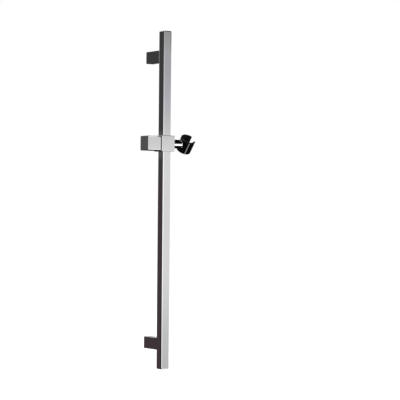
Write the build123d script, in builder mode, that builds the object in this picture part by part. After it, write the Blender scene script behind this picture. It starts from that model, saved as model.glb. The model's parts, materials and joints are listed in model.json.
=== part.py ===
"""Shower slide rail: a square chromed rail on two wall brackets, with a clamping slider and a tilting handset cup.

The wall is the plane y = 0 and the room is towards -Y. X runs to the right along the wall and Z is up.
The origin lies on the wall, midway between the two wall fixings. Lengths are in millimetres.
"""

import math
import os

from build123d import *

os.makedirs("parts", exist_ok=True)

# Rail: a square tube with an end cap at each end
fixing_centres = 600.0
rail_overhang = 52.0
rail_side = 20.0
rail_wall = 1.5
rail_corner = 3.0
cap_plate = 2.0
cap_edge = 1.2
plug_depth = 9.0
plug_wall = 1.8

# Brackets: hollow posts from the wall to the back of the rail
wall_gap = 50.0
bracket_width = 17.0
bracket_height = 25.0
bracket_shell = 2.5
bracket_front = 3.5
bracket_edge = 0.8

# Wall bosses: the blocks that are screwed to the wall inside the brackets
boss_depth = 14.0
wall_screw_hole = 4.8
wall_screw_head = 9.6
countersink_angle = 90
grub_groove_depth = 1.8
grub_groove_width = 5.0

# Screws
grub_diameter = 4.0
grub_length = 3.8
grub_hex = 2.0
bolt_diameter = 5.0
bolt_head_diameter = 8.5
bolt_head_height = 3.2
bolt_hex = 4.0
hex_depth = 1.8
rail_bolt_grip = 10.5
rail_nut_depth = 7.0
rail_nut_height = 18.0

# Slider body, with its middle this far above the middle of the fixings
slider_height = 117.5
body_width = 32.0
body_depth = 30.0
body_height = 33.0
body_corner = 1.0
body_edge = 0.8

# Liner collars, one pushed into each end of the slider's passage
liner_thickness = 1.5
liner_lip = 0.8
liner_lip_height = 1.2

# Clamp: pad, screw, nut and square knob on the left of the slider
pad_side = 11.0
pad_thickness = 2.5
pad_corner = 1.0
clamp_pitch = 1.25
clamp_thread = 8.0
clamp_nut_diameter = 12.0
clamp_flange_diameter = 22.0
clamp_flange = 1.6
knob_gap = 2.5
knob_side = 30.5
knob_length = 31.2
knob_wall = 2.5
knob_corner = 2.5
knob_edge = 0.8
knob_boss_diameter = 14.0
knob_boss_depth = 4.5
knob_rib = 1.6
cover_thickness = 1.5
screw_engagement = 18.0
screw_collar_diameter = 12.0
screw_collar = 1.5

# Pivot: the turned spindle on the right of the slider and what runs on it
spindle_thread = 10.0
spindle_collar_diameter = 14.0
spindle_collar = 2.0
journal_diameter = 11.0
journal_length = 10.5
ring_section = 1.4
ring_from_body = 5.0
friction_washer = 0.8
friction_washer_diameter = 17.5
spring_washer_diameter = 10.0
spring_washer_sheet = 0.6
spring_washer_rise = 0.4

# Holder: round stub and slotted cup
stub_diameter = 18.5
stub_web = 2.5
stub_counterbore = 13.0
stub_skirt = 1.6
cup_reach = 53.5
cup_tilt = 40.0
cup_diameter = 32.0
cup_length = 30.0
cup_rim = 0.8
seat_top_diameter = 25.2
seat_bottom_diameter = 22.0
cup_liner_wall = 1.4
cup_lip_height = 1.5
hose_slot = 16.0

# Clearances
running_gap = 0.3
thread_gap = 0.08
journal_gap = 0.1
press_gap = 0.04
plug_gap = 0.1
boss_gap = 0.15
bolt_gap = 0.25
nut_gap = 0.3
pad_gap = 0.05
liner_pad_gap = 0.5
turning_gap = 0.05
end_gap = 0.3

# Places that follow from the sizes
rail_y = -(wall_gap + rail_side / 2)
rail_bore = rail_side - 2 * rail_wall
rail_inner_corner = max(rail_corner - rail_wall, 0.3)
tube_length = fixing_centres + 2 * rail_overhang - 2 * cap_plate
passage = rail_side + 2 * running_gap + 2 * liner_thickness
passage_corner = rail_corner + running_gap + liner_thickness
liner_height = (body_height - pad_side) / 2 - liner_pad_gap
body_left = -body_width / 2
body_right = body_width / 2
pad_face = -(rail_side / 2 + pad_gap)
pad_back = pad_face - pad_thickness
pocket_floor = pad_back - clamp_pitch - running_gap / 2
flange_face = body_left - clamp_flange
knob_face = body_left - knob_gap
knob_end = knob_face - knob_length
boss_face = knob_face - knob_boss_depth
stub_left = body_right + friction_washer
web_left = body_right + journal_length + end_gap
web_right = web_left + stub_web
bolt_seat = web_right + turning_gap + spring_washer_sheet + spring_washer_rise
bolt_head_end = bolt_seat + bolt_head_height
spigot_end = bolt_head_end + end_gap
tilt = math.radians(cup_tilt)
cup_direction = (0, -math.sin(tilt), math.cos(tilt))
cup_centre = (cup_reach, rail_y, slider_height)


def rail_level(height):
    """The horizontal plane at this height, centred on the rail."""
    return Plane(origin=(0, rail_y, height))


def across(x):
    """The upright plane square to the slider's left-right axis, at this x, facing +X."""
    return Plane(origin=(x, rail_y, slider_height), x_dir=(0, 1, 0), z_dir=(1, 0, 0))


def out_from_wall(distance, height):
    """The plane parallel to the wall at this distance in front of it, facing the room."""
    return Plane(origin=(0, -distance, height), x_dir=(1, 0, 0), z_dir=(0, -1, 0))


def cup_level(distance):
    """The plane square to the cup's own axis, at this distance along it from the cup's middle."""
    centre = Vector(*cup_centre) + Vector(*cup_direction) * distance
    return Plane(origin=centre, x_dir=(1, 0, 0), z_dir=cup_direction)


# The plane that holds the cup's axis and the slider's left-right axis, for the cup's turned profiles
cup_section = Plane(
    origin=cup_centre, x_dir=(1, 0, 0), z_dir=(0, -math.cos(tilt), -math.sin(tilt))
)
cup_axis = Axis(cup_centre, cup_direction)


def save(piece, name):
    """Labels the piece and writes it to its own file."""
    piece.part.label = name
    export_step(piece.part, f"parts/{name}.step")


# Rail tube, with a bolt hole through its back wall behind each bracket
with BuildPart() as rail_tube:
    with BuildSketch(rail_level(-tube_length / 2)):
        RectangleRounded(rail_side, rail_side, rail_corner)
        RectangleRounded(rail_bore, rail_bore, rail_inner_corner, mode=Mode.SUBTRACT)
    extrude(amount=tube_length)
    with BuildSketch(out_from_wall(wall_gap, 0)):
        with GridLocations(0, fixing_centres, 1, 2):
            Circle(bolt_diameter / 2 + bolt_gap)
    extrude(amount=rail_wall, mode=Mode.SUBTRACT)
save(rail_tube, "rail_tube")


# End caps: a plate of the rail's own section over a hollow plug
for cap_name, way in (("top_cap", 1), ("bottom_cap", -1)):
    seat = Plane(origin=(0, rail_y, way * tube_length / 2), x_dir=(1, 0, 0), z_dir=(0, 0, way))
    plug_side = rail_bore - 2 * plug_gap
    with BuildPart() as cap:
        with BuildSketch(seat):
            RectangleRounded(rail_side, rail_side, rail_corner)
        extrude(amount=cap_plate)
        fillet(cap.edges().group_by(Axis((0, 0, 0), (0, 0, way)))[-1], cap_edge)
        with BuildSketch(seat):
            RectangleRounded(plug_side, plug_side, rail_inner_corner)
            offset(amount=-plug_wall, kind=Kind.INTERSECTION, mode=Mode.SUBTRACT)
        extrude(amount=-plug_depth)
    save(cap, cap_name)


# Wall side: one bracket, boss, grub screw, rail bolt and rail nut at each fixing
for end, fixing in (("upper", fixing_centres / 2), ("lower", -fixing_centres / 2)):
    cavity_width = bracket_width - 2 * bracket_shell
    cavity_height = bracket_height - 2 * bracket_shell
    cavity_depth = wall_gap - bracket_front
    underside = fixing - bracket_height / 2
    grub_plane = Plane(origin=(0, -boss_depth / 2, underside))

    with BuildPart() as bracket:
        with BuildSketch(out_from_wall(0, fixing)):
            Rectangle(bracket_width, bracket_height)
        extrude(amount=wall_gap)
        fillet(bracket.edges().filter_by(Axis.Y), bracket_edge)
        with BuildSketch(out_from_wall(0, fixing)):
            Rectangle(cavity_width, cavity_height)
        extrude(amount=cavity_depth, mode=Mode.SUBTRACT)
        with BuildSketch(out_from_wall(cavity_depth, fixing)):
            Circle(bolt_diameter / 2 + bolt_gap)
        extrude(amount=bracket_front, mode=Mode.SUBTRACT)
        with BuildSketch(grub_plane):
            Circle(grub_diameter / 2 + thread_gap)
        extrude(amount=bracket_shell, mode=Mode.SUBTRACT)
    save(bracket, f"{end}_bracket")

    with BuildPart() as wall_boss:
        with BuildSketch(out_from_wall(0, fixing)):
            Rectangle(cavity_width - 2 * boss_gap, cavity_height - 2 * boss_gap)
        extrude(amount=boss_depth)
        with Locations(out_from_wall(boss_depth, fixing)):
            CounterSinkHole(
                wall_screw_hole / 2, wall_screw_head / 2, counter_sink_angle=countersink_angle
            )
        with BuildSketch(Plane(origin=(0, -boss_depth / 2, underside + bracket_shell + boss_gap))):
            Rectangle(cavity_width, grub_groove_width)
        extrude(amount=grub_groove_depth, mode=Mode.SUBTRACT)
    save(wall_boss, f"{end}_wall_boss")

    grub_tip = underside + bracket_shell + boss_gap + grub_groove_depth
    with BuildPart() as grub_screw:
        with BuildSketch(Plane(origin=(0, -boss_depth / 2, grub_tip))):
            Circle(grub_diameter / 2)
        extrude(amount=-grub_length)
        chamfer(grub_screw.edges().group_by(Axis.Z)[-1], grub_diameter / 8)
        with BuildSketch(Plane(origin=(0, -boss_depth / 2, grub_tip - grub_length))):
            RegularPolygon(grub_hex / 2, 6, major_radius=False)
        extrude(amount=grub_length / 2, mode=Mode.SUBTRACT)
    save(grub_screw, f"{end}_grub_screw")

    with BuildPart() as rail_bolt:
        with BuildSketch(out_from_wall(cavity_depth, fixing)):
            Circle(bolt_head_diameter / 2)
        extrude(amount=-bolt_head_height)
        chamfer(rail_bolt.edges().group_by(Axis.Y)[-1], bolt_head_height / 8)
        with BuildSketch(out_from_wall(cavity_depth, fixing)):
            Circle(bolt_diameter / 2)
        extrude(amount=rail_bolt_grip)
        with BuildSketch(out_from_wall(cavity_depth - bolt_head_height, fixing)):
            RegularPolygon(bolt_hex / 2, 6, major_radius=False)
        extrude(amount=hex_depth, mode=Mode.SUBTRACT)
    save(rail_bolt, f"{end}_rail_bolt")

    with BuildPart() as rail_nut:
        with BuildSketch(out_from_wall(wall_gap + rail_wall, fixing)):
            Rectangle(rail_bore - 2 * nut_gap, rail_nut_height)
            Circle(bolt_diameter / 2 + thread_gap, mode=Mode.SUBTRACT)
        extrude(amount=rail_nut_depth)
        fillet(rail_nut.edges().filter_by(Axis.Z), rail_inner_corner)
    save(rail_nut, f"{end}_rail_nut")


# Slider body: a rounded block bored through for the rail, the clamp nut and the pivot spindle
with BuildPart() as slider_body:
    with BuildSketch(rail_level(slider_height - body_height / 2)):
        RectangleRounded(body_width, body_depth, body_corner)
    extrude(amount=body_height)
    fillet(slider_body.faces().sort_by(Axis.Z)[0].edges(), body_edge)
    fillet(slider_body.faces().sort_by(Axis.Z)[-1].edges(), body_edge)
    with BuildSketch(rail_level(slider_height - body_height / 2)):
        RectangleRounded(passage, passage, passage_corner)
    extrude(amount=body_height, mode=Mode.SUBTRACT)
    for way in (1, -1):
        rim = Plane(
            origin=(0, rail_y, slider_height + way * body_height / 2), z_dir=(0, 0, -way)
        )
        lip_seat = passage + 2 * liner_lip
        with BuildSketch(rim):
            RectangleRounded(lip_seat, lip_seat, passage_corner + liner_lip)
        extrude(amount=liner_lip_height, mode=Mode.SUBTRACT)
    with BuildSketch(across(pocket_floor)):
        RectangleRounded(pad_side + 2 * running_gap, pad_side + 2 * running_gap, pad_corner + running_gap)
    extrude(amount=-pocket_floor, mode=Mode.SUBTRACT)
    with BuildSketch(across(body_left)):
        Circle(clamp_nut_diameter / 2 + press_gap)
    extrude(amount=pocket_floor - body_left, mode=Mode.SUBTRACT)
    with BuildSketch(across(passage / 2)):
        Circle(spindle_thread / 2 + press_gap)
    extrude(amount=body_right - passage / 2, mode=Mode.SUBTRACT)
    with BuildSketch(across(body_right - spindle_collar)):
        Circle(spindle_collar_diameter / 2 + press_gap)
    extrude(amount=spindle_collar, mode=Mode.SUBTRACT)
save(slider_body, "slider_body")


# Liner collars: each is pushed in from its own end of the passage until its lip is flush
for liner_name, way in (("upper_liner", 1), ("lower_liner", -1)):
    rim = Plane(origin=(0, rail_y, slider_height + way * body_height / 2), z_dir=(0, 0, -way))
    liner_side = passage - 2 * press_gap
    lip_side = liner_side + 2 * liner_lip
    window = rail_side + 2 * running_gap
    with BuildPart() as liner:
        with BuildSketch(rim):
            RectangleRounded(liner_side, liner_side, passage_corner - press_gap)
        extrude(amount=liner_height)
        with BuildSketch(rim):
            RectangleRounded(lip_side, lip_side, passage_corner + liner_lip - press_gap)
        extrude(amount=liner_lip_height)
        with BuildSketch(rim):
            RectangleRounded(window, window, rail_corner + running_gap)
        extrude(amount=liner_height, mode=Mode.SUBTRACT)
    save(liner, liner_name)


# Brake pad, which the clamp screw presses on the left face of the rail
with BuildPart() as brake_pad:
    with BuildSketch(across(pad_back)):
        RectangleRounded(pad_side, pad_side, pad_corner)
    extrude(amount=pad_thickness)
save(brake_pad, "brake_pad")


# Clamp nut: a flanged bush in the body's left wall, with the thread for the clamp screw
with BuildPart() as clamp_nut:
    with BuildSketch(across(flange_face)):
        Circle(clamp_flange_diameter / 2)
    extrude(amount=clamp_flange)
    chamfer(clamp_nut.edges().group_by(Axis.X)[0], clamp_flange / 5)
    with BuildSketch(across(flange_face)):
        Circle(clamp_nut_diameter / 2)
    extrude(amount=pocket_floor - flange_face)
    with BuildSketch(across(flange_face)):
        Circle(clamp_thread / 2 + thread_gap)
    extrude(amount=pocket_floor - flange_face, mode=Mode.SUBTRACT)
save(clamp_nut, "clamp_nut")


# Clamp screw: its collar seats on the knob's inner boss and its tip bears on the pad
with BuildPart() as clamp_screw:
    with BuildSketch(across(boss_face - screw_engagement)):
        Circle(clamp_thread / 2)
    extrude(amount=pad_back - boss_face + screw_engagement)
    chamfer(clamp_screw.edges().group_by(Axis.X)[-1], clamp_thread / 10)
    chamfer(clamp_screw.edges().group_by(Axis.X)[0], clamp_thread / 10)
    with BuildSketch(across(boss_face)):
        Circle(screw_collar_diameter / 2)
    extrude(amount=screw_collar)
save(clamp_screw, "clamp_screw")


# Knob: a square shell, closed at its outer end, with a ribbed boss for the clamp screw
with BuildPart() as knob:
    with BuildSketch(across(knob_end)):
        RectangleRounded(knob_side, knob_side, knob_corner)
    extrude(amount=knob_length)
    fillet(knob.edges().group_by(Axis.X)[0], knob_edge)
    fillet(knob.edges().group_by(Axis.X)[-1], knob_edge / 2)
    with BuildSketch(across(knob_face)):
        RectangleRounded(
            knob_side - 2 * knob_wall, knob_side - 2 * knob_wall, max(knob_corner - knob_wall, 0.5)
        )
    extrude(amount=-(knob_length - knob_wall), mode=Mode.SUBTRACT)
    with BuildSketch(across(knob_end + knob_wall)):
        Circle(knob_boss_diameter / 2)
        Rectangle(knob_side - knob_wall, knob_rib)
        Rectangle(knob_rib, knob_side - knob_wall)
    extrude(amount=boss_face - knob_end - knob_wall)
    with BuildSketch(across(boss_face)):
        Circle(clamp_thread / 2 + press_gap)
    extrude(amount=-(screw_engagement + end_gap), mode=Mode.SUBTRACT)
save(knob, "knob")


# Knob cover: the plate that closes the knob behind its rim
with BuildPart() as knob_cover:
    with BuildSketch(across(knob_face - cover_thickness)):
        cover_side = knob_side - 2 * knob_wall - 2 * press_gap
        RectangleRounded(cover_side, cover_side, max(knob_corner - knob_wall, 0.5))
        Circle(clamp_thread / 2 + running_gap, mode=Mode.SUBTRACT)
    extrude(amount=cover_thickness)
save(knob_cover, "knob_cover")


# Pivot spindle: screwed into the body's right wall, with a journal, a ring groove and a tapped bore
with BuildPart() as pivot_spindle:
    shank_start = passage / 2 + end_gap
    with BuildSketch(across(shank_start)):
        Circle(spindle_thread / 2)
    extrude(amount=body_right - shank_start)
    with BuildSketch(across(body_right - spindle_collar)):
        Circle(spindle_collar_diameter / 2)
    extrude(amount=spindle_collar)
    with BuildSketch(across(body_right)):
        Circle(journal_diameter / 2)
    extrude(amount=journal_length)
    chamfer(pivot_spindle.edges().group_by(Axis.X)[-1], journal_diameter / 20)
    groove_width = ring_section + 2 * plug_gap
    with BuildSketch(across(body_right + ring_from_body - groove_width / 2)):
        Circle(journal_diameter / 2)
        Circle(journal_diameter / 2 - ring_section - press_gap, mode=Mode.SUBTRACT)
    extrude(amount=groove_width, mode=Mode.SUBTRACT)
    with BuildSketch(across(body_right + journal_length)):
        Circle(bolt_diameter / 2 + thread_gap)
    extrude(amount=-journal_length, mode=Mode.SUBTRACT)
save(pivot_spindle, "pivot_spindle")


# Damping ring in the journal's groove
with BuildPart() as pivot_o_ring:
    with BuildSketch(Plane(origin=(body_right + ring_from_body, rail_y, slider_height))):
        with Locations((0, journal_diameter / 2 - ring_section / 2)):
            Circle(ring_section / 2)
    revolve(axis=Axis((0, rail_y, slider_height), (1, 0, 0)))
save(pivot_o_ring, "pivot_o_ring")


# Friction washer between the slider and the turning stub
with BuildPart() as washer:
    with BuildSketch(across(body_right)):
        Circle(friction_washer_diameter / 2)
        Circle(journal_diameter / 2 + running_gap, mode=Mode.SUBTRACT)
    extrude(amount=friction_washer)
save(washer, "friction_washer")


# Spring washer: a coned ring that keeps the stub pressed to the friction washer
with BuildPart() as spring_washer:
    washer_start = web_right + turning_gap
    inner = bolt_diameter / 2 + bolt_gap
    outer = spring_washer_diameter / 2
    with BuildSketch(Plane(origin=(washer_start, rail_y, slider_height))):
        with BuildLine():
            Polyline(
                (0, outer),
                (spring_washer_sheet, outer),
                (spring_washer_sheet + spring_washer_rise, inner),
                (spring_washer_rise, inner),
                close=True,
            )
        make_face()
    revolve(axis=Axis((0, rail_y, slider_height), (1, 0, 0)))
save(spring_washer, "spring_washer")


# Pivot bolt, which holds the stub on the spindle
with BuildPart() as pivot_bolt:
    with BuildSketch(across(bolt_seat)):
        Circle(bolt_head_diameter / 2)
    extrude(amount=bolt_head_height)
    chamfer(pivot_bolt.edges().group_by(Axis.X)[-1], bolt_head_height / 8)
    with BuildSketch(across(bolt_seat)):
        Circle(bolt_diameter / 2)
    extrude(amount=-(bolt_seat - body_right - end_gap))
    with BuildSketch(across(bolt_head_end)):
        RegularPolygon(bolt_hex / 2, 6, major_radius=False)
    extrude(amount=-hex_depth, mode=Mode.SUBTRACT)
save(pivot_bolt, "pivot_bolt")


# Holder stub: a round neck, bored for the journal, whose far end spreads into a small skirt round the cup's wall.
# The cup's place is filled for a moment so that the seam can be filleted, and is then cut out again.
with BuildPart() as holder_stub:
    with BuildSketch(across(stub_left)):
        Circle(stub_diameter / 2)
    extrude(amount=cup_reach - stub_left)
    with BuildSketch(cup_level(-cup_length / 2)):
        Circle(cup_diameter / 2 + press_gap)
    extrude(amount=cup_length)
    seam = holder_stub.edges().filter_by(GeomType.BSPLINE)
    fillet(seam, stub_skirt)
    with BuildSketch(across(stub_left)):
        Circle(journal_diameter / 2 + journal_gap)
    extrude(amount=web_left - stub_left, mode=Mode.SUBTRACT)
    with BuildSketch(across(web_left)):
        Circle(bolt_diameter / 2 + bolt_gap)
    extrude(amount=stub_web, mode=Mode.SUBTRACT)
    with BuildSketch(across(web_right)):
        Circle(stub_counterbore / 2)
    extrude(amount=cup_reach - web_right, mode=Mode.SUBTRACT)
    with BuildSketch(cup_level(-cup_length)):
        Circle(cup_diameter / 2 + press_gap)
    extrude(amount=2 * cup_length, mode=Mode.SUBTRACT)
save(holder_stub, "holder_stub")


# Holder cup: a round cup with a spigot into the stub, a tapered bore, an inner lip and a hose slot
with BuildPart() as holder_cup:
    with BuildSketch(cup_section):
        with Locations((cup_diameter / 4, 0)):
            Rectangle(cup_diameter / 2, cup_length)
    revolve(axis=cup_axis)
    fillet(holder_cup.edges().filter_by(GeomType.CIRCLE), cup_rim)
    with BuildSketch(across(spigot_end)):
        Circle(stub_counterbore / 2 - press_gap)
    extrude(amount=cup_reach - spigot_end)
    with BuildSketch(cup_section):
        with BuildLine():
            lip_top = cup_lip_height - cup_length / 2
            Polyline(
                (0, -cup_length / 2),
                (seat_bottom_diameter / 2, -cup_length / 2),
                (seat_bottom_diameter / 2, lip_top),
                (seat_bottom_diameter / 2 + cup_liner_wall, lip_top),
                (seat_top_diameter / 2 + cup_liner_wall, cup_length / 2),
                (0, cup_length / 2),
                close=True,
            )
        make_face()
    revolve(axis=cup_axis, mode=Mode.SUBTRACT)
    with BuildSketch(cup_level(-cup_length / 2)):
        with Locations((cup_diameter / 2, 0)):
            Rectangle(cup_diameter, hose_slot)
    extrude(amount=cup_length, mode=Mode.SUBTRACT)
save(holder_cup, "holder_cup")


# Cup liner: the slotted, tapered sleeve that the handset's cone sits in
with BuildPart() as cup_liner:
    with BuildSketch(cup_section):
        with BuildLine():
            liner_foot = cup_lip_height - cup_length / 2
            Polyline(
                (seat_bottom_diameter / 2, liner_foot),
                (seat_bottom_diameter / 2 + cup_liner_wall - press_gap, liner_foot),
                (seat_top_diameter / 2 + cup_liner_wall - press_gap, cup_length / 2),
                (seat_top_diameter / 2, cup_length / 2),
                close=True,
            )
        make_face()
    revolve(axis=cup_axis)
    with BuildSketch(cup_level(-cup_length / 2)):
        with Locations((cup_diameter / 2, 0)):
            Rectangle(cup_diameter, hose_slot)
    extrude(amount=cup_length, mode=Mode.SUBTRACT)
save(cup_liner, "cup_liner")
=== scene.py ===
"""Shower slide rail in polished chrome, with its clamping slider, square knob and black tilting handset cup.

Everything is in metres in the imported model's frame: the wall is the plane y = 0, the room is towards -Y and
Z is up. The first part sizes and shapes the pieces, the second gives each its finish, the third is the
studio, and the last lines make them all.
"""

import json
import math

import bpy
import numpy as np
from mathutils import Matrix, Vector

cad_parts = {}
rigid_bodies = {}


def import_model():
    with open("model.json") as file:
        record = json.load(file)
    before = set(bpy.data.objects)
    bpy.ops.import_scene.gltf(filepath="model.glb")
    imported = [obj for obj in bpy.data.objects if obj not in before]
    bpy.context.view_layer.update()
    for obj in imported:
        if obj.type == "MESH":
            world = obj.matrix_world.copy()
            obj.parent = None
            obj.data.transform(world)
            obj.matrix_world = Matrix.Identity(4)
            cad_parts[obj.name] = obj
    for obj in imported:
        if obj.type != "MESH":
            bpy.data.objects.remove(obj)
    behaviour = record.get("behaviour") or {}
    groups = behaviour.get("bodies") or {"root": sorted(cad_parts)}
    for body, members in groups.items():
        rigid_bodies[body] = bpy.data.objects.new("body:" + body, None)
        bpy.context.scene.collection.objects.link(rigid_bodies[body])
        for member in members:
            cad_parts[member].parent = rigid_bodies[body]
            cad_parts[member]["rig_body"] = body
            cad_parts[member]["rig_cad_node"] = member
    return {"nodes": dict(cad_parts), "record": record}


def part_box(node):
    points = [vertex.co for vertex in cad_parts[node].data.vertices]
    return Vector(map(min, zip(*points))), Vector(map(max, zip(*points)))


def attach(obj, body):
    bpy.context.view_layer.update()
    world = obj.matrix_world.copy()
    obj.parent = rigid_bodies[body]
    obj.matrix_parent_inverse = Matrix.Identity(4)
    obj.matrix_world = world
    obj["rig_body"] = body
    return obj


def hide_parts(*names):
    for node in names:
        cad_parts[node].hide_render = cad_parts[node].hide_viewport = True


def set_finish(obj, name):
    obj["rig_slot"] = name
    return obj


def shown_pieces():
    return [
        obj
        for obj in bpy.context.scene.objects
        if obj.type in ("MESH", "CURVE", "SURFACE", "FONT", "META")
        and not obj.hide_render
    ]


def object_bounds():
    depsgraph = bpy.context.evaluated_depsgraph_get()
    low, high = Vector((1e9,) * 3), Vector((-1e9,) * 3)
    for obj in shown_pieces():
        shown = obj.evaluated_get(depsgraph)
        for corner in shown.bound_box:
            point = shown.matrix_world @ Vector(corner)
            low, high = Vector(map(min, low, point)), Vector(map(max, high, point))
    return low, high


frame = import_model()
cad_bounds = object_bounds()

MM = 0.001

# How far a shading point or ring stands beside each rounding, so that the flat next to it is shaded flat
HOLD = 0.06 * MM

# The radius that stands for a sharp corner
SHARP_RADIUS = 0.001 * MM

# Rail and caps
RAIL_CORNER = 3.0 * MM
RAIL_WALL = 1.5 * MM
CAP_EDGE = 1.9 * MM
CAP_PLATE = 2.0 * MM
PLUG_GAP = 0.1 * MM

# Slider body and knob
BODY_CORNER = 1.0 * MM
BODY_EDGE = 0.8 * MM
PASSAGE_CORNER = 4.8 * MM
LIP = 0.8 * MM
LIP_HEIGHT = 1.2 * MM
KNOB_CORNER = 2.5 * MM
KNOB_EDGE = 0.8 * MM
KNOB_WALL = 2.5 * MM
KNOB_RIM_EDGE = 0.4 * MM
KNOB_INNER_CORNER = 0.5 * MM

# Stub and cup
CUP_X = 53.5 * MM
CUP_TILT = math.radians(40.0)
CUP_RADIUS = 16.0 * MM
CUP_LENGTH = 30.0 * MM
CUP_RIM = 0.8 * MM
SEAT_TOP = 12.6 * MM
SEAT_BOTTOM = 11.0 * MM
LINER_WALL = 1.4 * MM
CUP_LIP = 1.5 * MM
HALF_SLOT = 8.0 * MM
CUP_BEVEL = 0.5 * MM
LINER_BEVEL = 0.3 * MM
PRESS_GAP = 0.04 * MM
STUB_EDGE = 0.5 * MM
JOURNAL_RADIUS = 5.6 * MM
BOLT_HOLE = 2.75 * MM
COUNTERBORE = 6.5 * MM
END_GAP = 0.3 * MM
STUB_WEB = 2.5 * MM
STUB_RADIUS = 9.25 * MM
STUB_SKIRT = 1.0 * MM
BOLT_HEAD_ROOM = 4.55 * MM
SPIGOT_SINK = 1.0 * MM

rail_low, rail_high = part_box("rail_tube")
body_low, body_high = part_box("slider_body")
knob_low, knob_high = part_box("knob")
stub_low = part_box("holder_stub")[0]
liner_low, liner_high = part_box("upper_liner")
spindle_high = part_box("pivot_spindle")[1]

RAIL_HALF = (rail_high[0] - rail_low[0]) / 2
RAIL_Y = (rail_high[1] + rail_low[1]) / 2
SLIDER_Z = (body_high[2] + body_low[2]) / 2
PASSAGE_HALF = (liner_high[0] - liner_low[0]) / 2 - LIP + PRESS_GAP
WEB_LEFT = spindle_high[0] + END_GAP
WEB_RIGHT = WEB_LEFT + STUB_WEB


# Places: each maps points of a piece's own axes into the model's frame

UPRIGHT = (np.array((0, RAIL_Y, 0)), np.eye(3))
ACROSS = (np.array((0, RAIL_Y, SLIDER_Z)), np.array(((0, 1, 0), (0, 0, 1), (1, 0, 0)), float))
TILTED = (
    np.array((CUP_X, RAIL_Y, SLIDER_Z)),
    np.array((
        (1, 0, 0),
        (0, math.cos(CUP_TILT), math.sin(CUP_TILT)),
        (0, -math.sin(CUP_TILT), math.cos(CUP_TILT)),
    )),
)


def placed(points, place):
    """Each point becomes the place's origin plus its coordinates along the place's three directions."""
    origin, directions = place
    return origin + points @ directions


def grid_faces(rows, columns, wrap_rows, wrap_columns):
    """Quads between neighbours on a grid, counted row by row. Wrapping joins the last line to the first."""
    i = np.arange(rows if wrap_rows else rows - 1)[:, None]
    j = np.arange(columns if wrap_columns else columns - 1)[None, :]
    up, on = (i + 1) % rows, (j + 1) % columns
    quads = np.stack([i * columns + j, i * columns + on, up * columns + on, up * columns + j], axis=-1)
    return quads.reshape(-1, 4).tolist()


def make_piece(name, grids, node, slot, sharp=35.0):
    """One mesh from several grids, standing for a CAD node and riding on its body.

    Each grid is (points, wrap rows, wrap columns, close first row, close last row).
    """
    points, faces, start = [], [], 0
    for grid, wrap_rows, wrap_columns, close_first, close_last in grids:
        rows, columns = grid.shape[:2]
        points.append(grid.reshape(-1, 3))
        own = grid_faces(rows, columns, wrap_rows, wrap_columns)
        if close_first:
            own.append(list(range(columns))[::-1])
        if close_last:
            own.append(list(range((rows - 1) * columns, rows * columns)))
        faces += [[start + v for v in face] for face in own]
        start += rows * columns
    mesh = bpy.data.meshes.new(name)
    mesh.from_pydata(np.concatenate(points).tolist(), [], faces)
    mesh.polygons.foreach_set("use_smooth", [True] * len(mesh.polygons))
    mesh.set_sharp_from_angle(angle=math.radians(sharp))
    mesh.validate()
    piece = bpy.data.objects.new(name, mesh)
    bpy.context.scene.collection.objects.link(piece)
    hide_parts(node)
    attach(piece, frame["nodes"][node]["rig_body"])
    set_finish(piece, slot)
    return piece


def rounded_rows(rows, steps=10):
    """Rounded rectangles stacked along an axis.

    Each row is (half width, half depth, corner radius, height). A corner's arc has its centre one radius
    inside the two sides, and its points are that centre plus the radius at evenly spaced angles of a quarter
    turn. One more point stands a little along the flat at each end of the arc, which keeps the flats flat.
    """
    rows = np.asarray(rows, float)[:, :, None]
    half_x, half_y, radius, height = rows[:, 0], rows[:, 1], rows[:, 2], rows[:, 3]
    radius = np.maximum(radius, SHARP_RADIUS)
    corner = np.repeat(np.arange(4), steps + 2)
    along = np.tile(np.concatenate([[0], np.linspace(0, 1, steps), [1]]), 4)
    hold = np.tile(np.concatenate([[-HOLD], np.zeros(steps), [HOLD]]), 4)
    angle = (corner + along) * math.pi / 2
    side_x = np.where((corner == 0) | (corner == 3), 1, -1)
    side_y = np.where(corner < 2, 1, -1)
    x = side_x * (half_x - radius) + radius * np.cos(angle) - hold * np.sin(angle)
    y = side_y * (half_y - radius) + radius * np.sin(angle) + hold * np.cos(angle)
    return np.stack([x, y, np.broadcast_to(height, x.shape)], axis=-1)


def rising_edge(half_x, half_y, corner, height, rounding, steps=6):
    """Rows of a rounded lower edge: a quarter circle from the underside to the side, held at both ends."""
    t = np.linspace(0, math.pi / 2, steps)
    inset = np.concatenate([[rounding + HOLD], rounding * (1 - np.sin(t)), [0]])
    lift = np.concatenate([[0], rounding * (1 - np.cos(t)), [rounding + HOLD]])
    return np.stack([half_x - inset, half_y - inset, np.maximum(corner - inset, 0), height + lift], axis=-1)


def closing_edge(half_x, half_y, corner, height, rounding, steps=6):
    """Rows of a rounded upper edge: a quarter circle from the side in to the top, held at both ends."""
    return rising_edge(half_x, half_y, corner, 0, rounding, steps)[::-1] * (1, 1, 1, -1) + (0, 0, 0, height)


def make_rail(rings=9):
    """The tube: its section goes up the outside, over the rim, down the inside and back to its start."""
    inner = RAIL_HALF - RAIL_WALL
    heights = np.linspace(rail_low[2], rail_high[2], rings)
    outside = [(RAIL_HALF, RAIL_HALF, RAIL_CORNER, z) for z in heights]
    inside = [(inner, inner, RAIL_CORNER - RAIL_WALL, z) for z in heights[::-1]]
    grid = placed(rounded_rows(outside + inside), UPRIGHT)
    return make_piece("rail_skin", [(grid, True, True, False, False)], "rail_tube", "polished_chrome")


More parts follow.
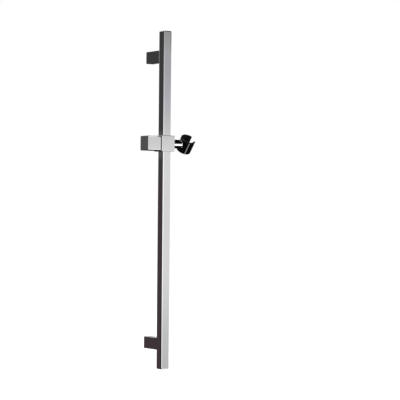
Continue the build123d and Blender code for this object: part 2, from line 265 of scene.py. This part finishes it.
def make_cap(node, way):
    """An end cap: plate with a rounded rim over a plug, built upwards and turned over for the lower end."""
    low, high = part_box(node)
    plug, plug_corner = RAIL_HALF - RAIL_WALL - PLUG_GAP, RAIL_CORNER - RAIL_WALL
    plug_end = CAP_PLATE - (high[2] - low[2])
    rows = [(plug, plug, plug_corner, plug_end), (plug, plug, plug_corner, 0)]
    rows += [(RAIL_HALF, RAIL_HALF, RAIL_CORNER, 0)]
    rows += closing_edge(RAIL_HALF, RAIL_HALF, RAIL_CORNER, CAP_PLATE, CAP_EDGE).tolist()
    points = rounded_rows(rows)
    if way < 0:
        points = points[:, ::-1] * (1, 1, -1)
    seat = rail_high[2] if way > 0 else rail_low[2]
    grid = placed(points + (0, 0, seat), UPRIGHT)
    return make_piece(f"{node}_skin", [(grid, False, True, True, True)], node, "polished_chrome")


def make_slider_body():
    """The block round the rail: up its outside, over its top, down the passage and back underneath."""
    half_x, half_y = (body_high[0] - body_low[0]) / 2, (body_high[1] - body_low[1]) / 2
    low, high = body_low[2], body_high[2]
    seat, hole = PASSAGE_HALF + LIP, PASSAGE_HALF
    rows = rising_edge(half_x, half_y, BODY_CORNER, low, BODY_EDGE).tolist()
    rows += closing_edge(half_x, half_y, BODY_CORNER, high, BODY_EDGE).tolist()
    rows += [
        (seat, seat, PASSAGE_CORNER + LIP, high),
        (seat, seat, PASSAGE_CORNER + LIP, high - LIP_HEIGHT),
        (hole, hole, PASSAGE_CORNER, high - LIP_HEIGHT),
        (hole, hole, PASSAGE_CORNER, low + LIP_HEIGHT),
        (seat, seat, PASSAGE_CORNER + LIP, low + LIP_HEIGHT),
        (seat, seat, PASSAGE_CORNER + LIP, low),
    ]
    grid = placed(rounded_rows(rows), UPRIGHT)
    return make_piece("slider_block", [(grid, True, True, False, False)], "slider_body", "polished_chrome")


def make_knob():
    """The square knob, built from its outer end along the outside, over the rim and down into its hollow."""
    half = (knob_high[1] - knob_low[1]) / 2
    inner = half - KNOB_WALL
    left, right = knob_low[0], knob_high[0]
    rows = rising_edge(half, half, KNOB_CORNER, left, KNOB_EDGE, steps=8).tolist()
    rows += closing_edge(half, half, KNOB_CORNER, right, KNOB_RIM_EDGE, steps=4).tolist()
    rows += [(inner, inner, KNOB_INNER_CORNER, right), (inner, inner, KNOB_INNER_CORNER, left + KNOB_WALL)]
    grid = placed(rounded_rows(rows), ACROSS)
    return make_piece("square_knob", [(grid, False, True, True, True)], "knob", "polished_chrome")


def cup_surface_x(y, z, gap=0.0):
    """How far right the cup's round wall lies at a point (y, z) off the stub's axis.

    The distance across the tilted cup is q = y cos(tilt) + z sin(tilt), and the wall is at the cup's axis
    less the square root of its radius squared less q squared.
    """
    q = y * math.cos(CUP_TILT) + z * math.sin(CUP_TILT)
    return CUP_X - np.sqrt((CUP_RADIUS + gap) ** 2 - q**2)


def make_stub(around=96, steps=7):
    """The neck: a profile of (radius, fixed x, distance left of the cup's wall), carried round its axis.

    A point has either a fixed x or a distance. Near the cup the neck widens as a quarter circle, so that it
    meets the wall in a small skirt. A ring stands just beside each rounding, so that the length between them
    is shaded as a true cylinder.
    """
    left = stub_low[0]
    radius = STUB_RADIUS
    turn = np.linspace(0, 2 * math.pi, around, endpoint=False)
    t = np.linspace(0, math.pi / 2, steps)
    edge = [(radius - STUB_EDGE * (1 - math.sin(a)), left + STUB_EDGE * (1 - math.cos(a)), None) for a in t]
    profile = [(BOLT_HOLE, WEB_LEFT, None), (JOURNAL_RADIUS, WEB_LEFT, None), (JOURNAL_RADIUS, left, None)]
    profile += edge
    profile += [(radius, left + STUB_EDGE + HOLD, None), (radius, None, STUB_SKIRT + HOLD)]
    profile += [(radius + STUB_SKIRT * (1 - math.cos(a)), None, STUB_SKIRT * (1 - math.sin(a))) for a in t]
    profile += [(COUNTERBORE, None, 0.0), (COUNTERBORE, WEB_RIGHT, None), (BOLT_HOLE, WEB_RIGHT, None)]
    rows = []
    for r, x, back in profile:
        y, z = r * np.cos(turn), r * np.sin(turn)
        along = np.full(around, x) if back is None else cup_surface_x(y, z, PRESS_GAP) - back
        rows.append(np.stack([y, z, along], axis=-1))
    grid = placed(np.array(rows), ACROSS)
    return make_piece("stub_neck", [(grid, True, True, False, False)], "holder_stub", "polished_chrome")


def slotted_ring(profile, around):
    """A ring with a parallel-sided slot facing +x.

    profile is a closed run of (radius, height). Round the ring the angle goes from the slot's edge, whose
    sine is half the slot over the radius, to the same angle short of a full turn, so that both slot faces
    come out flat.
    """
    radius, height = np.asarray(profile, float).T
    edge = np.arcsin(HALF_SLOT / radius)
    u = np.linspace(0, 1, around)[:, None]
    angle = edge + u * (2 * math.pi - 2 * edge)
    x, y = radius * np.cos(angle), radius * np.sin(angle)
    return np.stack([x, y, np.broadcast_to(height, angle.shape)], axis=-1)[::-1]


def bevelled(piece, width, segments=3, sharper_than=40.0):
    """Rounds the piece's edges that turn by more than this many degrees."""
    bevel = piece.modifiers.new("rounded_edges", "BEVEL")
    bevel.width = width
    bevel.segments = segments
    bevel.limit_method = "ANGLE"
    bevel.angle_limit = math.radians(sharper_than)
    bevel.harden_normals = True
    return piece


def make_cup(around=80, around_spigot=48, rings=5):
    """The cup: outer wall, mouth, tapered bore and lip, slotted on the right, and the spigot in the neck."""
    top, bottom = CUP_LENGTH / 2, -CUP_LENGTH / 2
    lip = bottom + CUP_LIP
    middle = np.linspace(bottom + CUP_RIM, top - CUP_RIM, rings)
    profile = [(CUP_RADIUS - CUP_RIM, bottom)]
    profile += [(CUP_RADIUS, z) for z in middle]
    profile += [(CUP_RADIUS - CUP_RIM, top), (SEAT_TOP + LINER_WALL, top)]
    profile += [(SEAT_BOTTOM + LINER_WALL, lip), (SEAT_BOTTOM, lip), (SEAT_BOTTOM, bottom)]
    ring = placed(slotted_ring(profile, around), TILTED)
    turn = np.linspace(0, 2 * math.pi, around_spigot, endpoint=False)
    radius = COUNTERBORE - PRESS_GAP
    y, z = radius * np.cos(turn), radius * np.sin(turn)
    ends = [np.full(around_spigot, WEB_RIGHT + BOLT_HEAD_ROOM), cup_surface_x(y, z) + SPIGOT_SINK]
    spigot = np.array([np.stack([y, z, x], axis=-1) for x in ends])
    grids = [(ring, False, True, True, True), (placed(spigot, ACROSS), False, True, True, True)]
    return bevelled(make_piece("handset_cup", grids, "holder_cup", "black_gloss"), CUP_BEVEL)


def make_cup_liner(around=80):
    """The liner: a thin slotted cone from the lip to the mouth, with a rounded top edge."""
    top, foot = CUP_LENGTH / 2, -CUP_LENGTH / 2 + CUP_LIP
    wall = LINER_WALL - PRESS_GAP
    profile = [(SEAT_BOTTOM + wall, foot), (SEAT_TOP + wall, top), (SEAT_TOP, top), (SEAT_BOTTOM, foot)]
    ring = placed(slotted_ring(profile, around), TILTED)
    grids = [(ring, False, True, True, True)]
    return bevelled(make_piece("handset_liner", grids, "cup_liner", "black_liner"), LINER_BEVEL)


# Materials

def new_material(name):
    """An empty node material: its tree, its principled shader and a reader of object coordinates."""
    material = bpy.data.materials.new(name)
    material.use_nodes = True
    tree = material.node_tree
    shader = tree.nodes["Principled BSDF"]
    where = tree.nodes.new("ShaderNodeTexCoord")
    return material, tree, shader, where.outputs["Object"]


def noise(tree, where, scale, detail=4.0, stretch=(1, 1, 1)):
    """Cloudy noise on object coordinates, at this many waves per metre along each stretched way."""
    mapping = tree.nodes.new("ShaderNodeMapping")
    mapping.inputs["Scale"].default_value = stretch
    tree.links.new(where, mapping.inputs["Vector"])
    cloud = tree.nodes.new("ShaderNodeTexNoise")
    cloud.inputs["Scale"].default_value = scale
    cloud.inputs["Detail"].default_value = detail
    tree.links.new(mapping.outputs["Vector"], cloud.inputs["Vector"])
    return cloud.outputs["Fac"]


def spread(tree, value, low, high, start=0.3, end=0.7):
    """The value's middle range mapped to low and high."""
    node = tree.nodes.new("ShaderNodeMapRange")
    node.inputs["From Min"].default_value = start
    node.inputs["From Max"].default_value = end
    node.inputs["To Min"].default_value = low
    node.inputs["To Max"].default_value = high
    tree.links.new(value, node.inputs["Value"])
    return node.outputs["Result"]


def blend_colours(tree, factor, first, second):
    """A mix of two colours by a factor."""
    node = tree.nodes.new("ShaderNodeMix")
    node.data_type = "RGBA"
    node.inputs["A"].default_value = (*first, 1)
    node.inputs["B"].default_value = (*second, 1)
    tree.links.new(factor, node.inputs["Factor"])
    return node.outputs["Result"]


def bump(tree, shader, height, strength, distance):
    """Relief on the shader's normal."""
    node = tree.nodes.new("ShaderNodeBump")
    node.inputs["Strength"].default_value = strength
    node.inputs["Distance"].default_value = distance
    tree.links.new(height, node.inputs["Height"])
    tree.links.new(node.outputs["Normal"], shader.inputs["Normal"])


def chrome_plate():
    """Polished plating: nearly a mirror, with faint clouding and a trace of the polishing under it."""
    material, tree, shader, where = new_material("chrome_plate")
    shader.inputs["Metallic"].default_value = 1.0
    haze = noise(tree, where, 90.0)
    plating = blend_colours(tree, haze, (0.80, 0.80, 0.81), (0.84, 0.84, 0.845))
    tree.links.new(plating, shader.inputs["Base Color"])
    tree.links.new(spread(tree, noise(tree, where, 240.0, 6.0), 0.012, 0.03), shader.inputs["Roughness"])
    bump(tree, shader, noise(tree, where, 55.0, 2.0), 0.015, 0.0004)
    return material


def moulded_plastic(name, dark, light, rough, shine=0.5, grain=900.0, relief=0.05):
    """Moulded plastic: two close colours in slow clouds, with a fine moulded grain."""
    material, tree, shader, where = new_material(name)
    tree.links.new(blend_colours(tree, noise(tree, where, 60.0), dark, light), shader.inputs["Base Color"])
    tree.links.new(spread(tree, noise(tree, where, 300.0), rough[0], rough[1]), shader.inputs["Roughness"])
    shader.inputs["Specular IOR Level"].default_value = shine
    bump(tree, shader, noise(tree, where, grain, 3.0), relief, 0.0002)
    return material


def turned_metal(name, dark, light, rough):
    """Turned metal: fine rings across the slider's left-right axis, over slow clouds."""
    material, tree, shader, where = new_material(name)
    shader.inputs["Metallic"].default_value = 1.0
    rings = noise(tree, where, 700.0, 3.0, (6.0, 0.4, 0.4))
    tree.links.new(blend_colours(tree, rings, dark, light), shader.inputs["Base Color"])
    tree.links.new(spread(tree, rings, rough[0], rough[1]), shader.inputs["Roughness"])
    bump(tree, shader, rings, 0.08, 0.0001)
    return material


def soft_rubber():
    """Black rubber with a dull bloom."""
    material, tree, shader, where = new_material("ring_rubber")
    bloom = noise(tree, where, 500.0)
    black = blend_colours(tree, bloom, (0.012, 0.012, 0.012), (0.03, 0.03, 0.03))
    tree.links.new(black, shader.inputs["Base Color"])
    tree.links.new(spread(tree, bloom, 0.5, 0.75), shader.inputs["Roughness"])
    bump(tree, shader, noise(tree, where, 1500.0), 0.1, 0.0001)
    return material


FINISHES = {
    "polished_chrome": chrome_plate(),
    "black_gloss": moulded_plastic(
        "cup_black", (0.002, 0.002, 0.002), (0.004, 0.004, 0.004), (0.07, 0.12), shine=0.42, relief=0.01
    ),
    "black_liner": moulded_plastic("liner_black", (0.006, 0.006, 0.006), (0.011, 0.011, 0.011), (0.3, 0.42)),
    # The collar in the gap between knob and slider body is made near black: painted shade for that gap
    "dark_nylon": moulded_plastic("gap_collar_painted_shade", (0.02, 0.02, 0.021), (0.035, 0.035, 0.037), (0.38, 0.5)),
    "boss_nylon": moulded_plastic("boss_nylon", (0.42, 0.42, 0.41), (0.5, 0.5, 0.49), (0.42, 0.55)),
    "turned_brass": turned_metal("bush_brass", (0.62, 0.45, 0.2), (0.78, 0.6, 0.3), (0.2, 0.32)),
    "bright_steel": turned_metal("screw_steel", (0.5, 0.5, 0.5), (0.62, 0.62, 0.62), (0.22, 0.34)),
    "black_rubber": soft_rubber(),
}


def finish_with(piece, slot):
    """Gives every material slot of the piece the finish of this record slot."""
    if not piece.data.materials:
        piece.data.materials.append(None)
    for index in range(len(piece.data.materials)):
        piece.data.materials[index] = FINISHES[slot]


# Studio

# What polished metal shows of the studio. A direction's turn is its angle from straight into the room,
# growing towards the right, and its height is its angle above the horizon, both in degrees. Four numbers
# give where a thing starts, is full, begins to fade and ends; two numbers give where it starts and is full.

# Level of the cards in front by height: a white card low down, and over it a grey one that darkens upwards
CARD_LEVELS = (
    (-90, 0.0), (-37, 0.0), (-34, 1.6), (-10, 1.6), (-6.2, 0.58), (-5.4, 0.58), (-4.0, 0.66), (-2.4, 0.80),
    (0.8, 0.80), (2.0, 0.82), (3.0, 0.64), (4.0, 0.52), (4.7, 0.45), (5.7, 0.44), (6.33, 0.35), (6.38, 0.03),
    (20, 0.03), (21.5, 0.0),
)
CARD_PEAK = 1.6

# The cards' right part, whose top slants down to the right and is soft by half a degree each way, and where
# the white card ends
RIGHT_TURNS = (0, 12, 145, 160)
RIGHT_TOP = 22.0
TOP_FADE = (0.5, -0.5)
SLANT = 16.2
SLANT_TURNS = (36, 42)
WHITE_CARD_END = (62, 72)
WHITE_CARD_HEIGHTS = (-8, -12)

# The cards' left part, brighter than the right one and fading a little upwards
LEFT_TURNS = (-62, -52, 2, 14)
LEFT_HEIGHTS = (-16, -12, 7, 9)
LEFT_LEVEL = 1.5
LEFT_FADE = 0.25
LEFT_FADE_HEIGHTS = (4.8, 6.2)

# A strip of directions that mostly the knob shows, by their share of the way to the right. It is white
# above the grey card, for the knob's top edge, and dark behind the part and below the horizon, for its
# bottom edge.
KNOB_STRIP = (0.52, 0.53, 0.5407, 0.5411)
KNOB_LIGHT = 1.1
KNOB_LIGHT_HEIGHTS = (6.4, 7.0, 45, 55)
KNOB_SHADE = 0.9
KNOB_SHADE_HEIGHTS = (-0.6, -1.6)
KNOB_SHADE_TURNS = (88, 92)

# The dim wall on the left, with a paler band level with the slider; below the horizon it starts farther back
WALL_LEVEL = 0.05
WALL_START = -75.0
WALL_STEP = -52.0
WALL_STEP_HEIGHTS = (-0.5, -2.5)
WALL_EDGE = -12
WALL_BACK = (-172, -160)
BAND_LEVEL = 0.043
BAND_HEIGHTS = (1.85, 1.95, 2.8, 2.9)

# The white backdrop behind, and how far up and down wall and backdrop reach
BACKDROP_LEVEL = 1.0
BACKDROP_TURNS = (158, 168)
BACKDROP_HEIGHTS = (0, 4)
ROOM_HEIGHT = 35.0

# Small lamps: direction, half width in degrees and level. The first stands under the part and is seen as
# the streak down the cup; the second hangs overhead and is seen in the neck's skirt.
SMALL_LAMPS = (((0.094, -0.296, -0.951), 6.0, 6.0), ((-0.268, -0.208, 0.941), 14.0, 5.0))
LAMP_RIM = 1.2

# Faint tints: cool high up in front, warm low down on the left and behind
COOL = (0.985, 0.985, 1.05)
COOL_HEIGHTS = (3.0, 4.0, 5.4, 5.9)
WARM = (1.2, 0.87, 0.94)
WARM_HEIGHTS = (2.5, 0.0)

# Plain light on everything that isn't polished, floor and lamps (name, place, size, watts)
AMBIENT = 0.55
FLOOR_DROP = 0.06
FLOOR_HALF = 12.0
FLOOR_GLOW = 0.55
LAMPS = (
    ("key", (-1.6, -2.2, 1.8), 1.6, 40),
    ("fill", (2.2, -1.6, 0.6), 1.8, 22),
    ("back", (0.3, 1.8, 1.9), 1.6, 18),
)

# The photograph's camera: turn to the left and roll in degrees; height, distance and reach in metres; lens
# and frame width in millimetres; and shift in shares of the frame
CAMERA_TURN = 33.0
CAMERA_ROLL = 0.49
CAMERA_HEIGHT = -0.0262
CAMERA_DISTANCE = 3.385
CAMERA_REACH = 60.0
CAMERA_LENS = 146.17
CAMERA_FRAME = 36.0
CAMERA_SHIFT = (0.0904, 0.0316)


def maths(tree, operation, first, second=None):
    """A math node on two values, each a socket or a number."""
    node = tree.nodes.new("ShaderNodeMath")
    node.operation = operation
    for socket, value in zip(node.inputs, (first, second)):
        if value is None:
            continue
        if isinstance(value, (int, float)):
            socket.default_value = value
        else:
            tree.links.new(value, socket)
    return node.outputs[0]


def both(tree, first, second):
    """The product of two values."""
    return maths(tree, "MULTIPLY", first, second)


def without(tree, value):
    """One less the value."""
    return maths(tree, "SUBTRACT", 1.0, value)


def step_between(tree, value, start, full):
    """0 short of start, 1 past full and smooth between. It runs downwards where full is the lower one."""
    node = tree.nodes.new("ShaderNodeMapRange")
    node.interpolation_type = "SMOOTHSTEP"
    node.inputs["From Min"].default_value = start
    node.inputs["From Max"].default_value = full
    tree.links.new(value, node.inputs["Value"])
    return node.outputs["Result"]


def window(tree, value, start, full, fade, end):
    """0 outside start and end, 1 between full and fade, and smooth between them."""
    return both(tree, step_between(tree, value, start, full), step_between(tree, value, end, fade))


def level_by_height(tree, height):
    """The cards' level at each height, read off a colour ramp from straight down to straight up."""
    ramp = tree.nodes.new("ShaderNodeValToRGB")
    tree.links.new(maths(tree, "ADD", maths(tree, "DIVIDE", height, 180.0), 0.5), ramp.inputs["Fac"])
    stops = ramp.color_ramp.elements
    while len(stops) < len(CARD_LEVELS):
        stops.new(0.5)
    for stop, (degrees, level) in zip(stops, CARD_LEVELS):
        stop.position = degrees / 180 + 0.5
        stop.color = (level / CARD_PEAK,) * 3 + (1,)
    return both(tree, ramp.outputs["Color"], CARD_PEAK)


def front_cards(tree, turn, height):
    """The cards in front of the part: their right part, and the brighter left part added to it."""
    slant = both(tree, step_between(tree, turn, *SLANT_TURNS), SLANT)
    above = maths(tree, "SUBTRACT", height, maths(tree, "SUBTRACT", RIGHT_TOP, slant))
    past_white = step_between(tree, height, *WHITE_CARD_HEIGHTS)
    past_white = both(tree, past_white, step_between(tree, turn, *WHITE_CARD_END))
    right = both(tree, window(tree, turn, *RIGHT_TURNS), step_between(tree, above, *TOP_FADE))
    right = both(tree, right, without(tree, past_white))
    left = both(tree, window(tree, turn, *LEFT_TURNS), window(tree, height, *LEFT_HEIGHTS))
    fade = both(tree, step_between(tree, height, *LEFT_FADE_HEIGHTS), LEFT_FADE)
    left = both(tree, left, maths(tree, "SUBTRACT", LEFT_LEVEL, fade))
    return both(tree, level_by_height(tree, height), maths(tree, "ADD", right, left))


def with_knob_strip(tree, lit, rightward, turn, height):
    """The level with the knob's strip in it: a white card above, and shade behind and below the horizon."""
    strip = window(tree, rightward, *KNOB_STRIP)
    light = both(tree, strip, window(tree, height, *KNOB_LIGHT_HEIGHTS))
    lit = maths(tree, "ADD", lit, both(tree, light, KNOB_LIGHT))
    shade = both(tree, strip, step_between(tree, height, *KNOB_SHADE_HEIGHTS))
    shade = both(tree, shade, step_between(tree, turn, *KNOB_SHADE_TURNS))
    return both(tree, lit, without(tree, both(tree, shade, KNOB_SHADE)))


def room_behind(tree, turn, height):
    """The dim wall on the left with its paler band, and the backdrop behind."""
    start = both(tree, step_between(tree, height, *WALL_STEP_HEIGHTS), WALL_STEP)
    past_start = maths(tree, "SUBTRACT", turn, maths(tree, "ADD", start, WALL_START))
    wall = both(tree, step_between(tree, past_start, 0, WALL_EDGE), step_between(tree, turn, *WALL_BACK))
    band = both(tree, window(tree, height, *BAND_HEIGHTS), BAND_LEVEL)
    wall = both(tree, wall, maths(tree, "ADD", band, WALL_LEVEL))
    backdrop = both(tree, step_between(tree, maths(tree, "ABSOLUTE", turn), *BACKDROP_TURNS), BACKDROP_LEVEL)
    backdrop = both(tree, backdrop, step_between(tree, height, *BACKDROP_HEIGHTS))
    reach = maths(tree, "LESS_THAN", maths(tree, "ABSOLUTE", height), ROOM_HEIGHT)
    return both(tree, maths(tree, "ADD", wall, backdrop), reach)


def small_lamp(tree, way, direction, width, level):
    """A round lamp: its level inside its half width of the direction, fading to nothing at its rim."""
    towards = tree.nodes.new("ShaderNodeVectorMath")
    towards.operation = "DOT_PRODUCT"
    towards.inputs[1].default_value = direction
    tree.links.new(way, towards.inputs[0])
    rim, core = math.cos(math.radians(width * LAMP_RIM)), math.cos(math.radians(width))
    return both(tree, step_between(tree, towards.outputs["Value"], rim, core), level)


def tint(tree, height, turn, glossy):
    """The colour of the light: white, but for the cool and the warm zone that polished metal shows."""
    front = step_between(tree, turn, *LEFT_TURNS[:2])
    cool_zone = both(tree, window(tree, height, *COOL_HEIGHTS), front)
    warm_zone = both(tree, step_between(tree, height, *WARM_HEIGHTS), without(tree, front))
    product = tree.nodes.new("ShaderNodeVectorMath")
    product.operation = "MULTIPLY"
    for socket, zone, colour in zip(product.inputs, (cool_zone, warm_zone), (COOL, WARM)):
        tree.links.new(blend_colours(tree, both(tree, zone, glossy), (1, 1, 1), colour), socket)
    return product.outputs[0]


def make_world():
    """Plain soft light for everything, white for the camera and the studio's cards for reflections."""
    world = bpy.data.worlds.new("studio")
    bpy.context.scene.world = world
    world.use_nodes = True
    tree = world.node_tree
    tree.nodes.clear()
    way = tree.nodes.new("ShaderNodeTexCoord").outputs["Generated"]
    parts = tree.nodes.new("ShaderNodeSeparateXYZ")
    tree.links.new(way, parts.inputs[0])
    x, y, z = parts.outputs
    height = both(tree, maths(tree, "ARCSINE", z), 180 / math.pi)
    turn = both(tree, maths(tree, "ARCTAN2", x, both(tree, y, -1.0)), 180 / math.pi)

    seen_in_metal = with_knob_strip(tree, front_cards(tree, turn, height), x, turn, height)
    seen_in_metal = maths(tree, "ADD", seen_in_metal, room_behind(tree, turn, height))
    for direction, width, level in SMALL_LAMPS:
        seen_in_metal = maths(tree, "ADD", seen_in_metal, small_lamp(tree, way, direction, width, level))

    rays = tree.nodes.new("ShaderNodeLightPath")
    lighting = tree.nodes.new("ShaderNodeMix")
    lighting.inputs["A"].default_value = AMBIENT
    tree.links.new(seen_in_metal, lighting.inputs["B"])
    tree.links.new(rays.outputs["Is Glossy Ray"], lighting.inputs["Factor"])
    shown = tree.nodes.new("ShaderNodeMix")
    shown.inputs["B"].default_value = 1.0
    tree.links.new(lighting.outputs["Result"], shown.inputs["A"])
    tree.links.new(rays.outputs["Is Camera Ray"], shown.inputs["Factor"])
    sky = tree.nodes.new("ShaderNodeBackground")
    tree.links.new(tint(tree, height, turn, rays.outputs["Is Glossy Ray"]), sky.inputs["Color"])
    tree.links.new(shown.outputs["Result"], sky.inputs["Strength"])
    out = tree.nodes.new("ShaderNodeOutputWorld")
    tree.links.new(sky.outputs[0], out.inputs["Surface"])


def make_floor():
    """A wide pale floor a little below the rail. A glow for the camera makes it as white as the backdrop."""
    height = cad_bounds[0][2] - FLOOR_DROP
    mesh = bpy.data.meshes.new("floor")
    corners = [(x * FLOOR_HALF, y * FLOOR_HALF, height) for x, y in ((-1, -1), (1, -1), (1, 1), (-1, 1))]
    mesh.from_pydata(corners, [], [(0, 1, 2, 3)])
    floor = bpy.data.objects.new("floor", mesh)
    bpy.context.scene.collection.objects.link(floor)
    material = bpy.data.materials.new("floor_white")
    material.use_nodes = True
    tree = material.node_tree
    tree.nodes.clear()
    matt = tree.nodes.new("ShaderNodeBsdfDiffuse")
    matt.inputs["Color"].default_value = (0.85, 0.85, 0.85, 1)
    glow = tree.nodes.new("ShaderNodeEmission")
    rays = tree.nodes.new("ShaderNodeLightPath")
    tree.links.new(both(tree, rays.outputs["Is Camera Ray"], FLOOR_GLOW), glow.inputs["Strength"])
    together = tree.nodes.new("ShaderNodeAddShader")
    tree.links.new(matt.outputs[0], together.inputs[0])
    tree.links.new(glow.outputs[0], together.inputs[1])
    out = tree.nodes.new("ShaderNodeOutputMaterial")
    tree.links.new(together.outputs[0], out.inputs["Surface"])
    mesh.materials.append(material)
    floor.visible_glossy = False


def make_lamp(name, place, aim, size, power):
    """A soft square lamp at a place, aimed at a point. Metal shows the studio's cards instead of it."""
    data = bpy.data.lights.new(name, "AREA")
    data.size = size
    data.energy = power
    lamp = bpy.data.objects.new(name, data)
    bpy.context.scene.collection.objects.link(lamp)
    lamp.location = place
    lamp.rotation_euler = (Vector(aim) - Vector(place)).to_track_quat("-Z", "Y").to_euler()
    lamp.visible_glossy = False
    return lamp


def make_camera():
    """The photograph's camera: level, at the front left, just under the rail's middle, with a long lens."""
    turn, roll = math.radians(CAMERA_TURN), math.radians(CAMERA_ROLL)
    ahead = Vector((math.sin(turn), math.cos(turn), 0))
    right = Vector((math.cos(turn), -math.sin(turn), 0))
    up = Vector((0, 0, 1))
    cam_right = right * math.cos(roll) + up * math.sin(roll)
    cam_up = up * math.cos(roll) - right * math.sin(roll)
    place = Vector((0, RAIL_Y, CAMERA_HEIGHT)) - ahead * CAMERA_DISTANCE
    data = bpy.data.cameras.new("camera")
    data.sensor_width = CAMERA_FRAME
    data.lens = CAMERA_LENS
    data.shift_x, data.shift_y = CAMERA_SHIFT
    data.clip_end = CAMERA_REACH
    camera = bpy.data.objects.new("camera", data)
    bpy.context.scene.collection.objects.link(camera)
    camera.matrix_world = Matrix((
        (cam_right.x, cam_up.x, -ahead.x, place.x),
        (cam_right.y, cam_up.y, -ahead.y, place.y),
        (cam_right.z, cam_up.z, -ahead.z, place.z),
        (0, 0, 0, 1),
    ))
    bpy.context.scene.camera = camera


# The pieces, their finishes and the studio round them

make_rail()
make_cap("top_cap", 1)
make_cap("bottom_cap", -1)
make_slider_body()
make_knob()
make_stub()
make_cup()
make_cup_liner()

slot_of = {entry["node"]: entry["material_slot"] for entry in frame["record"]["subparts"]}
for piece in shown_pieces():
    finish_with(piece, piece["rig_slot"] if "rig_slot" in piece else slot_of[piece["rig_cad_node"]])

make_world()
make_floor()
for name, place, size, power in LAMPS:
    make_lamp(name, place, (0, RAIL_Y, 0), size, power)
make_camera()
bpy.context.scene.view_settings.view_transform = "Standard"
